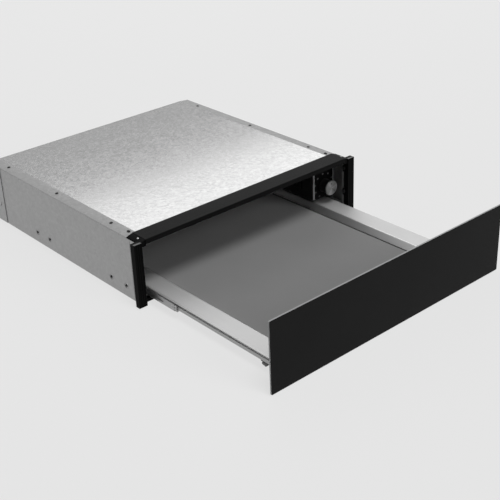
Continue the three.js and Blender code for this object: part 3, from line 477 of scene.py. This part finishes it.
def drawn(x, y, z, body="casing"):
    """A place on the drawing, in millimetres, as a place in the scene, in metres."""
    return Vector((x, y - DRAWN_MIDDLE - STANDS_OPEN[body], z)) / 1000


def start_piece(name, primitive, **values):
    """Adds a primitive with nothing else selected, and opens it in edit mode."""
    bpy.ops.object.select_all(action="DESELECT")
    primitive(**values)
    piece = bpy.context.object
    piece.name = piece.data.name = name
    bpy.ops.object.transform_apply(location=False, rotation=True, scale=True)
    bpy.ops.object.mode_set(mode="EDIT")
    bpy.ops.mesh.select_all(action="DESELECT")
    return piece


def start_block(name, low, high, body="casing"):
    """A block between two corners on the drawing."""
    low, high = drawn(*low, body), drawn(*high, body)
    return start_piece(
        name, bpy.ops.mesh.primitive_cube_add, size=1, location=(low + high) / 2, scale=high - low
    )


def start_disc(name, radius, height, sides=24):
    """A cylinder that stands on the origin, with its size in millimetres."""
    return start_piece(
        name, bpy.ops.mesh.primitive_cylinder_add, vertices=sides, radius=radius / 1000,
        depth=height / 1000, location=(0, 0, height / 2000),
    )


# %% Helpers for edit mode
def select_faces(piece, test):
    """Selects the faces whose middle, in millimetres from the piece's own, and direction pass."""
    bpy.ops.mesh.select_mode(type="FACE")
    mesh = bmesh.from_edit_mesh(piece.data)
    for face in mesh.faces:
        face.select_set(bool(test(face.calc_center_median() * 1000, face.normal)))
    bmesh.update_edit_mesh(piece.data)


def select_edges(piece, test):
    """Selects the edges whose middle and run, in millimetres, pass a test."""
    bpy.ops.mesh.select_mode(type="EDGE")
    mesh = bmesh.from_edit_mesh(piece.data)
    for edge in mesh.edges:
        a, b = (v.co * 1000 for v in edge.verts)
        edge.select_set(bool(test((a + b) / 2, b - a)))
    bmesh.update_edit_mesh(piece.data)


def top_face(middle, direction):
    return direction.z > 0.9


def move(x=0, y=0, z=0):
    bpy.ops.transform.translate(value=(x / 1000, y / 1000, z / 1000))


def extrude(x=0, y=0, z=0):
    way = (x / 1000, y / 1000, z / 1000)
    bpy.ops.mesh.extrude_region_move(TRANSFORM_OT_translate={"value": way})


def inset(width):
    bpy.ops.mesh.inset(thickness=width / 1000)


def round_edges(width, segments=3):
    bpy.ops.mesh.bevel(offset=width / 1000, segments=segments, affect="EDGES")


# %% Helpers that finish and copy a piece
MERGE_DISTANCE = 0.000002
made = []


def dress(piece, body, material):
    """Gives a piece its finish, and says which body carries it."""
    piece.data.materials.clear()
    piece.data.materials.append(material)
    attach(piece, body)
    made.append(piece.name)


def close_piece(piece, smooth=35):
    """Leaves edit mode with the faces pointing outwards and the piece's place in its mesh."""
    bpy.ops.mesh.select_all(action="SELECT")
    bpy.ops.mesh.remove_doubles(threshold=MERGE_DISTANCE)
    bpy.ops.mesh.normals_make_consistent(inside=False)
    bpy.ops.object.mode_set(mode="OBJECT")
    bpy.ops.object.transform_apply(location=True, rotation=True, scale=True)
    bpy.ops.object.shade_smooth_by_angle(angle=math.radians(smooth))
    return piece


def copy_piece(piece, name):
    """A copy with its own mesh."""
    copy = piece.copy()
    copy.data = piece.data.copy()
    copy.name = copy.data.name = name
    bpy.context.scene.collection.objects.link(copy)
    return copy


def mirrored_copy(piece, name):
    """The same piece for the other side."""
    twin = copy_piece(piece, name)
    twin.data.transform(Matrix.Scale(-1, 4, (1, 0, 0)))
    bpy.ops.object.select_all(action="DESELECT")
    twin.select_set(True)
    bpy.context.view_layer.objects.active = twin
    bpy.ops.object.mode_set(mode="EDIT")
    return close_piece(twin)


def dress_pair(piece, body, material):
    """Dresses a left piece, and makes and dresses the right one."""
    twin = mirrored_copy(piece, piece.name.replace("_left", "_right"))
    dress(piece, body, material)
    dress(twin, body.replace("_left", "_right"), material)
    print(piece.name, "and", twin.name + ":", len(piece.data.polygons), "faces each")


def set_out(master, places, material, body="casing"):
    """Puts a copy at every place of {name: (x, y, z, direction)}, and removes the master."""
    for name, (x, y, z, direction) in places.items():
        copy = copy_piece(master, name)
        turn = Vector((0, 0, 1)).rotation_difference(Vector(direction)).to_matrix().to_4x4()
        copy.data.transform(Matrix.Translation(drawn(x, y, z, body)) @ turn)
        dress(copy, body, material)
    print(len(places), "copies of", master.name, "on", body)
    bpy.data.objects.remove(master)


UP, BACK, FORWARD = (0, 0, 1), (0, 1, 0), (0, -1, 0)
OUT = {"left": (-1, 0, 0), "right": (1, 0, 0)}
SIDE = {"left": -1, "right": 1}

# %% [markdown]
# ### A screw with a cross recess
# The casing is held by small pan-head screws. The head starts as a disc whose upper edge is bevelled
# to a dome. A cross is cut into it with a tapered cutter, and a narrow collar stays under the head.

# %% Cross cutter
CROSS_WIDTH = 0.9
ARM_LENGTH = 1.1
COLLAR_HEIGHT = 0.5
DOME_HEIGHT = 1.4

cutter = start_piece(
    "cross_cutter", bpy.ops.mesh.primitive_cube_add, size=CROSS_WIDTH / 1000,
    location=(0, 0, (COLLAR_HEIGHT + DOME_HEIGHT) / 1000),
)
for x, y in ((1, 0), (-1, 0), (0, 1), (0, -1)):
    arm = Vector((x, y, 0))

    def is_end_of_arm(middle, direction):
        beside = middle - arm * middle.dot(arm)
        return direction.dot(arm) > 0.9 and beside.length < CROSS_WIDTH / 3

    select_faces(cutter, is_end_of_arm)
    extrude(x * ARM_LENGTH, y * ARM_LENGTH)
select_faces(cutter, lambda middle, direction: direction.z < -0.9)
bpy.ops.transform.resize(value=(0.55, 0.55, 1))
close_piece(cutter)
print("cross cutter:", len(cutter.data.polygons), "faces")

# %% Screw head
screw = start_disc("cross_screw", 3.9, COLLAR_HEIGHT)
select_faces(screw, top_face)
inset(0.6)
extrude(z=DOME_HEIGHT)
round_edges(1.1, 4)
close_piece(screw, smooth=50)
recess = screw.modifiers.new("recess", "BOOLEAN")
recess.operation, recess.solver, recess.object = "DIFFERENCE", "EXACT", cutter
bpy.ops.object.modifier_apply(modifier=recess.name)
bpy.data.objects.remove(cutter)
print("screw:", len(screw.data.polygons), "faces")

# %% [markdown]
# ### Where the screws go
# Three hold each rim of the cover, four hold each pair of runner brackets through the side panel, two
# hold each column, and the rear panel has two in each return and four in its back. Those that show
# from the front are black, with a smaller size in the side panels, and the rear panel's are bright
# zinc.

# %% Screw finishes and places
SIDE_FIXINGS = (59, 109, 334, 382)
FIXING_HEIGHT = 23.9

bright_screw = make_finish(
    "bright_screw", lines, Tone=grey(0.36), Stretch=(900.0, 900.0, 900.0), Contrast=0.5,
    Roughness=0.34, bump=0.1, shader_values=METAL,
)
black_screw = make_finish(
    "black_screw", lines, Tone=grey(0.02), Stretch=(700.0, 700.0, 700.0), Contrast=0.6,
    Roughness=0.42, bump=0.1, shader_values={"Metallic": 0.6, "Specular IOR Level": 0.2},
)
bright, black, small = {}, {}, {}
for side, sign in SIDE.items():
    for i, y in enumerate((112, 305, 498)):
        black[f"rim_screw_{side}_{i + 1}"] = (260.5 * sign, y, 133.0, UP)
    for i, z in enumerate((40, 104)):
        bright[f"return_screw_{side}_{i + 1}"] = (276.3 * sign, 534, z, OUT[side])
    for i, z in enumerate((12, 122)):
        bright[f"rear_screw_{side}_{i + 1}"] = (262 * sign, 557, z, BACK)
    for i, y in enumerate(SIDE_FIXINGS):
        small[f"side_screw_{side}_{i + 1}"] = (275.1 * sign, y, FIXING_HEIGHT, OUT[side])
    for i, z in enumerate((57, 111)):
        black[f"column_screw_{side}_{i + 1}"] = (268.2 * sign, 10.3, z, FORWARD)

# %% Copies of the screw
for kind, places, size, finish in (
    ("bright_cross_screw", bright, 1, bright_screw),
    ("black_cross_screw", black, 1, black_screw),
    ("small_cross_screw", small, 0.74, black_screw),
):
    sized = copy_piece(screw, kind)
    sized.data.transform(Matrix.Scale(size, 4))
    set_out(sized, places, finish)
bpy.data.objects.remove(screw)

# %% [markdown]
# ### Pressed rings in the side panels
# Round each runner fixing the sheet is pressed to a shallow ring, which stiffens it there. A disc
# with a dished middle and a rounded shoulder, laid on the sheet, has the same form.

# %% Pressed rings
ring = start_disc("pressed_ring", 6.4, 0.5, sides=32)
select_faces(ring, top_face)
round_edges(0.45, 3)
select_faces(ring, top_face)
inset(0.9)
inset(0.6)
move(z=-0.35)
close_piece(ring, smooth=60)
ring_places = {
    f"pressed_ring_{side}_{i + 1}": (274.95 * sign, y, FIXING_HEIGHT, OUT[side])
    for side, sign in SIDE.items()
    for i, y in enumerate(SIDE_FIXINGS)
}
set_out(ring, ring_places, zinc_side)

# %% [markdown]
# ### Folded edge strips on the cover
# The photograph shows a dull strip along each long edge of the cover, a little lower than its bright
# top, and the screws go through it. It falls gently outwards, so it mirrors less of the light. A long
# block becomes that strip when its outer top edge is lowered and its inner one is rounded.

# %% Edge strips
strip = start_block("edge_strip_left", (-275, 43.6, 131.8), (-251.4, 556.4, 134.5))
select_edges(strip, lambda middle, run: abs(run.y) > 100 and middle.x < -5 and middle.z > 0)
move(z=-2.3)
select_edges(strip, lambda middle, run: abs(run.y) > 100 and middle.x > 5 and middle.z > 0)
round_edges(0.35, 2)
close_piece(strip)
dress_pair(strip, "casing", zinc_edge)

# %% [markdown]
# ### End pieces of the top rail
# The black top rail ends in a moulded piece that fills the corner between the rail, the column and
# the side panel. It slopes down to the side, and one bright screw holds it.

# %% Rail end pieces
rail_end = start_block("rail_end_left", (-274.6, 14.4, 130.8), (-260.4, 42.4, 137.6))
select_edges(rail_end, lambda middle, run: abs(run.y) > 20 and middle.x < 0 and middle.z > 0)
move(z=-4.2)
select_faces(rail_end, lambda middle, direction: direction.y < -0.9)
extrude(y=-0.4)
select_edges(rail_end, lambda middle, run: abs(run.z) > 0.5 and middle.x < 0 and middle.y < -14.2)
move(x=5.0, z=1.4)
select_faces(rail_end, lambda middle, direction: direction.y < -0.9)
extrude(y=-11.8)
select_faces(rail_end, lambda middle, direction: direction.z < -0.9 and middle.y < -15)
extrude(z=-6.5)
select_edges(rail_end, lambda middle, run: abs(run.y) > 5 and middle.z > -2)
round_edges(0.6, 3)
close_piece(rail_end)
dress_pair(rail_end, "casing", frame_black)

# %% Their screws
LEAN, RISE = 0.28, 0.96

rail_screw = start_disc("rail_screw", 2.3, 1.5, sides=20)
select_faces(rail_screw, top_face)
round_edges(0.8, 4)
select_faces(rail_screw, top_face)
inset(0.4)
move(z=-0.5)
close_piece(rail_screw, smooth=50)
places = {
    f"rail_screw_{side}": (266 * sign, 18, 135.4, (LEAN * sign, 0, RISE))
    for side, sign in SIDE.items()
}
set_out(rail_screw, places, bright_screw)

# %% The clips behind them
clip = start_block("cover_clip_left", (-261.2, 54, 132.6), (-256.8, 60.5, 135.4))
select_faces(clip, top_face)
inset(0.8)
move(z=0.5)
select_edges(clip, lambda middle, run: abs(run.z) > 1.5)
round_edges(0.8, 3)
close_piece(clip)
dress_pair(clip, "casing", black_plastic)

# %% [markdown]
# ### Cut ends of the columns
# The columns are cut from a painted bar, so their top ends show a paler cut. A thin cap with a
# bevelled edge stands for it and catches the light along its front.

# %% Column caps
cut_black = make_finish(
    "cut_black", lines, Tone=grey(0.07), Stretch=(600.0, 600.0, 600.0), Contrast=0.5,
    Roughness=0.4, bump=0.08, shader_values={"Metallic": 0.8},
)
cap = start_block("column_cap_left", (-287.6, 0.4, 133.9), (-270.6, 5.4, 134.5))
select_faces(cap, top_face)
inset(0.7)
select_faces(cap, lambda middle, direction: direction.z > 0.9 and middle.xy.length < 1)
move(z=-0.2)
select_edges(cap, lambda middle, run: abs(run.z) > 0.4 and run.xy.length < 0.1)
round_edges(1.0, 3)
close_piece(cap)
dress_pair(cap, "casing", cut_black)

# %% [markdown]
# ### Joggle down the side panel
# Close behind each column the side sheet has one pressed line from top to bottom, which shows as a
# lighter and a darker streak beside each other.

# %% Joggle
joggle = start_block("side_joggle_left", (-275.5, 33, 3), (-274.9, 38, 128))
select_edges(joggle, lambda middle, run: abs(run.z) > 100 and middle.x < 0)
round_edges(0.5, 4)
select_faces(joggle, lambda middle, direction: abs(direction.z) > 0.9)
bpy.ops.transform.resize(value=(1, 0.6, 1))
close_piece(joggle, smooth=70)
dress_pair(joggle, "casing", zinc_side)

# %% [markdown]
# ### Dial marks and trim strips
# Seven small round marks stand in a ring round the knob. Printed ink is slightly raised, so each mark
# is a thin lens. The two bright strips beside the dial are slim bars with rounded front edges, finer
# than the solids that they replace.

# %% Dial marks
KNOB_AXIS = (241.5, 70)
RING_RADIUS = 26.2
DIAL_FACE = 46.12
FIRST_ANGLE, ANGLE_STEP = 23, 36.3

mark_ink = make_finish(
    "mark_ink", peel, Tone=grey(0.075), Grains_per_metre=3000.0, Cloudiness=0.4,
    Roughness=0.6, bump=0.1,
)
dot = start_disc("dial_mark", 2.2, 0.12, sides=20)
select_faces(dot, top_face)
inset(0.4)
move(z=0.12)
close_piece(dot, smooth=60)
marks = {}
for i in range(7):
    angle = math.radians(FIRST_ANGLE + ANGLE_STEP * i)
    x = KNOB_AXIS[0] + RING_RADIUS * math.cos(angle)
    z = KNOB_AXIS[1] + RING_RADIUS * math.sin(angle)
    marks[f"dial_mark_{i + 1}"] = (x, DIAL_FACE, z, FORWARD)
set_out(dot, marks, mark_ink)

# %% Trim strips
HALF_STRIP = 0.5

for name, x in (("trim_strip_left", 211.6), ("trim_strip_right", 269.4)):
    bar = start_block(name, (x - HALF_STRIP, 44.2, 44), (x + HALF_STRIP, 48.0, 101))
    select_edges(bar, lambda middle, run: middle.y < -1 and abs(run.z) > 20)
    round_edges(0.4, 4)
    close_piece(bar, smooth=60)
    dress(bar, "casing", trim_steel)
    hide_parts(name.replace("trim_", "dial_"))
print("trim strips set")

# %% [markdown]
# ### Small pieces on the moving parts
# A flat rivet holds the plastic buffer in each middle rail. The release levers end in a ribbed pad
# that a finger finds under the rim. A dark rubber strip along each side of the mat is painted shade,
# for the shadow line between the mat and the wall of the tray's well.

# %% Rail rivets
RIVET_BACK = 23.2

rivet = start_disc("rail_rivet", 4.4, 0.3, sides=28)
select_faces(rivet, top_face)
inset(0.5)
move(z=0.1)
close_piece(rivet, smooth=50)
rivet_cap = start_disc("rivet_cap", 2.7, 0.15, sides=28)
select_faces(rivet_cap, top_face)
inset(0.5)
move(z=0.12)
close_piece(rivet_cap, smooth=50)
for master, sheet, name, slot, finish in (
    (rivet, 261.6, "rail_rivet", "bare_steel", machine_steel),
    (rivet_cap, 262.0, "rail_rivet_cap", "pale_plastic", pale_plastic),
):
    places = {
        f"{name}_{side}": (sheet * sign, RIVET_BACK, FIXING_HEIGHT, OUT[side])
        for side, sign in SIDE.items()
    }
    set_out(master, places, finish, "middle_rails")

# %% Lever pads
pad = start_block("lever_pad_left", (-256.2, 52, 9.2), (-248.6, 62, 15.6), "lever_left")
select_faces(pad, lambda middle, direction: direction.y > 0.9)
bpy.ops.transform.resize(value=(0.9, 1, 0.55))
select_edges(pad, lambda middle, run: abs(run.x) > 5)
bpy.ops.mesh.subdivide(number_cuts=7)
select_faces(pad, lambda middle, direction: direction.z < -0.5)
round_edges(0.25, 1)
select_edges(pad, lambda middle, run: abs(run.y) > 5 and middle.x < -3)
round_edges(0.8, 3)
close_piece(pad)
dress_pair(pad, "lever_left", pad_plastic)

# %% Dark strips along the mat, as painted shade
shade_strip = start_block("mat_lip_left", (-207.4, 34, 20.4), (-204.4, 541, 20.9), "drawer")
select_edges(shade_strip, lambda middle, run: abs(run.y) > 100 and middle.x > 0 and middle.z > 0)
move(z=-0.35)
select_edges(shade_strip, lambda middle, run: abs(run.y) > 100 and middle.x < 0 and middle.z > 0)
round_edges(0.25, 2)
close_piece(shade_strip)
dress_pair(shade_strip, "drawer", painted_shade_rubber)
print("pieces made:", len(made))

# %% [markdown]
# ## Floor, backdrop and light
# The floor is one pale surface that runs out of view on all sides, and the sky beyond it is the same
# pale grey. Both show at one even brightness to the camera and in reflections, because the metal
# mirrors them. The floor keeps a small share of its real shading, which carries the object's shadow.
# The light that falls on the object comes from the lamps and from a much dimmer sky.

# %% Floor
PALE = (0.79, 0.79, 0.79, 1)
EVEN_SHARE = 0.85
FLOOR_WIDTH = 40
FLOOR_DROP = 0.0006


def seen_share(tree):
    """1 where a surface is seen, mirrored or looked at through glass, 0 where it only lights."""
    ray = add_node(tree, "ShaderNodeLightPath").outputs
    bounced = calculate(tree, "MAXIMUM", ray["Is Glossy Ray"], ray["Is Transmission Ray"])
    return calculate(tree, "MAXIMUM", ray["Is Camera Ray"], bounced)


bpy.ops.object.select_all(action="DESELECT")
bpy.ops.mesh.primitive_plane_add(size=FLOOR_WIDTH, location=(0, 0, -FLOOR_DROP))
floor = bpy.context.object
floor.name = "floor"
floor_paint = bpy.data.materials.new("floor_paint")
floor_paint.use_nodes = True
tree = floor_paint.node_tree
matt = tree.nodes["Principled BSDF"]
feed(tree, matt, {"Base Color": PALE, "Roughness": 0.9, "Specular IOR Level": 0.0})
even = add_node(tree, "ShaderNodeEmission", {"Color": PALE})
share = calculate(tree, "MULTIPLY", seen_share(tree), EVEN_SHARE)
choose = add_node(tree, "ShaderNodeMixShader", {0: share, 1: matt.outputs[0], 2: even.outputs[0]})
feed(tree, tree.nodes["Material Output"], {"Surface": choose.outputs[0]})
floor.data.materials.append(floor_paint)

# %% Sky
AMBIENT = 0.25

world = bpy.data.worlds.new("studio")
bpy.context.scene.world = world
world.use_nodes = True
sky = world.node_tree
dim = sky.nodes["Background"]
feed(sky, dim, {"Color": PALE, "Strength": AMBIENT})
shown = add_node(sky, "ShaderNodeBackground", {"Color": PALE, "Strength": 1.0})
choose = add_node(
    sky, "ShaderNodeMixShader", {0: seen_share(sky), 1: dim.outputs[0], 2: shown.outputs[0]}
)
feed(sky, sky.nodes["World Output"], {"Surface": choose.outputs[0]})

# %% [markdown]
# ### Lamps
# A soft light from above and a weaker one from the front light the object evenly. The front one is
# kept out of reflections, so that it doesn't whiten the cover when that is seen from behind. A large
# softbox hangs behind the object at the right. The front of the cover mirrors it and the back hardly
# does, which makes the sheet run from grey to almost white as in the photograph. The box is turned
# so that the change runs in the same direction.

# %% Lamp helpers
def add_lamp(name, kind, energy):
    """A lamp of a given kind, not yet placed."""
    data = bpy.data.lights.new(name, kind)
    data.energy = energy
    lamp = bpy.data.objects.new(name, data)
    bpy.context.scene.collection.objects.link(lamp)
    return lamp


def add_softbox(name, place, target, size, power, tilt=0):
    """A rectangle of light that faces a target, turned about that line by the tilt in degrees."""
    lamp = add_lamp(name, "AREA", power)
    lamp.data.shape = "RECTANGLE"
    lamp.data.size, lamp.data.size_y = size
    lamp.location = place
    aim = (Vector(target) - Vector(place)).to_track_quat("-Z", "Y")
    lamp.rotation_euler = (aim @ Quaternion((0, 0, 1), math.radians(tilt))).to_euler()


def add_sun(name, direction, strength, softness):
    """Even light along a direction. The softness is the width of its source in degrees."""
    lamp = add_lamp(name, "SUN", strength)
    lamp.data.angle = math.radians(softness)
    lamp.rotation_euler = Vector(direction).to_track_quat("-Z", "Y").to_euler()
    return lamp


# %% Lamps
add_sun("overhead_light", direction=(0.05, 0.39, -1), strength=1.7, softness=22)
front_fill = add_sun("front_fill", direction=(-0.25, 1, -0.5), strength=1.3, softness=30)
front_fill.visible_glossy = False
add_softbox(
    "back_softbox", place=(2.12, 1.97, 2.2), target=(0, 0, 0.1), size=(3.0, 1.8), power=28, tilt=20
)

# %% View settings
bpy.context.scene.view_settings.view_transform = "Standard"
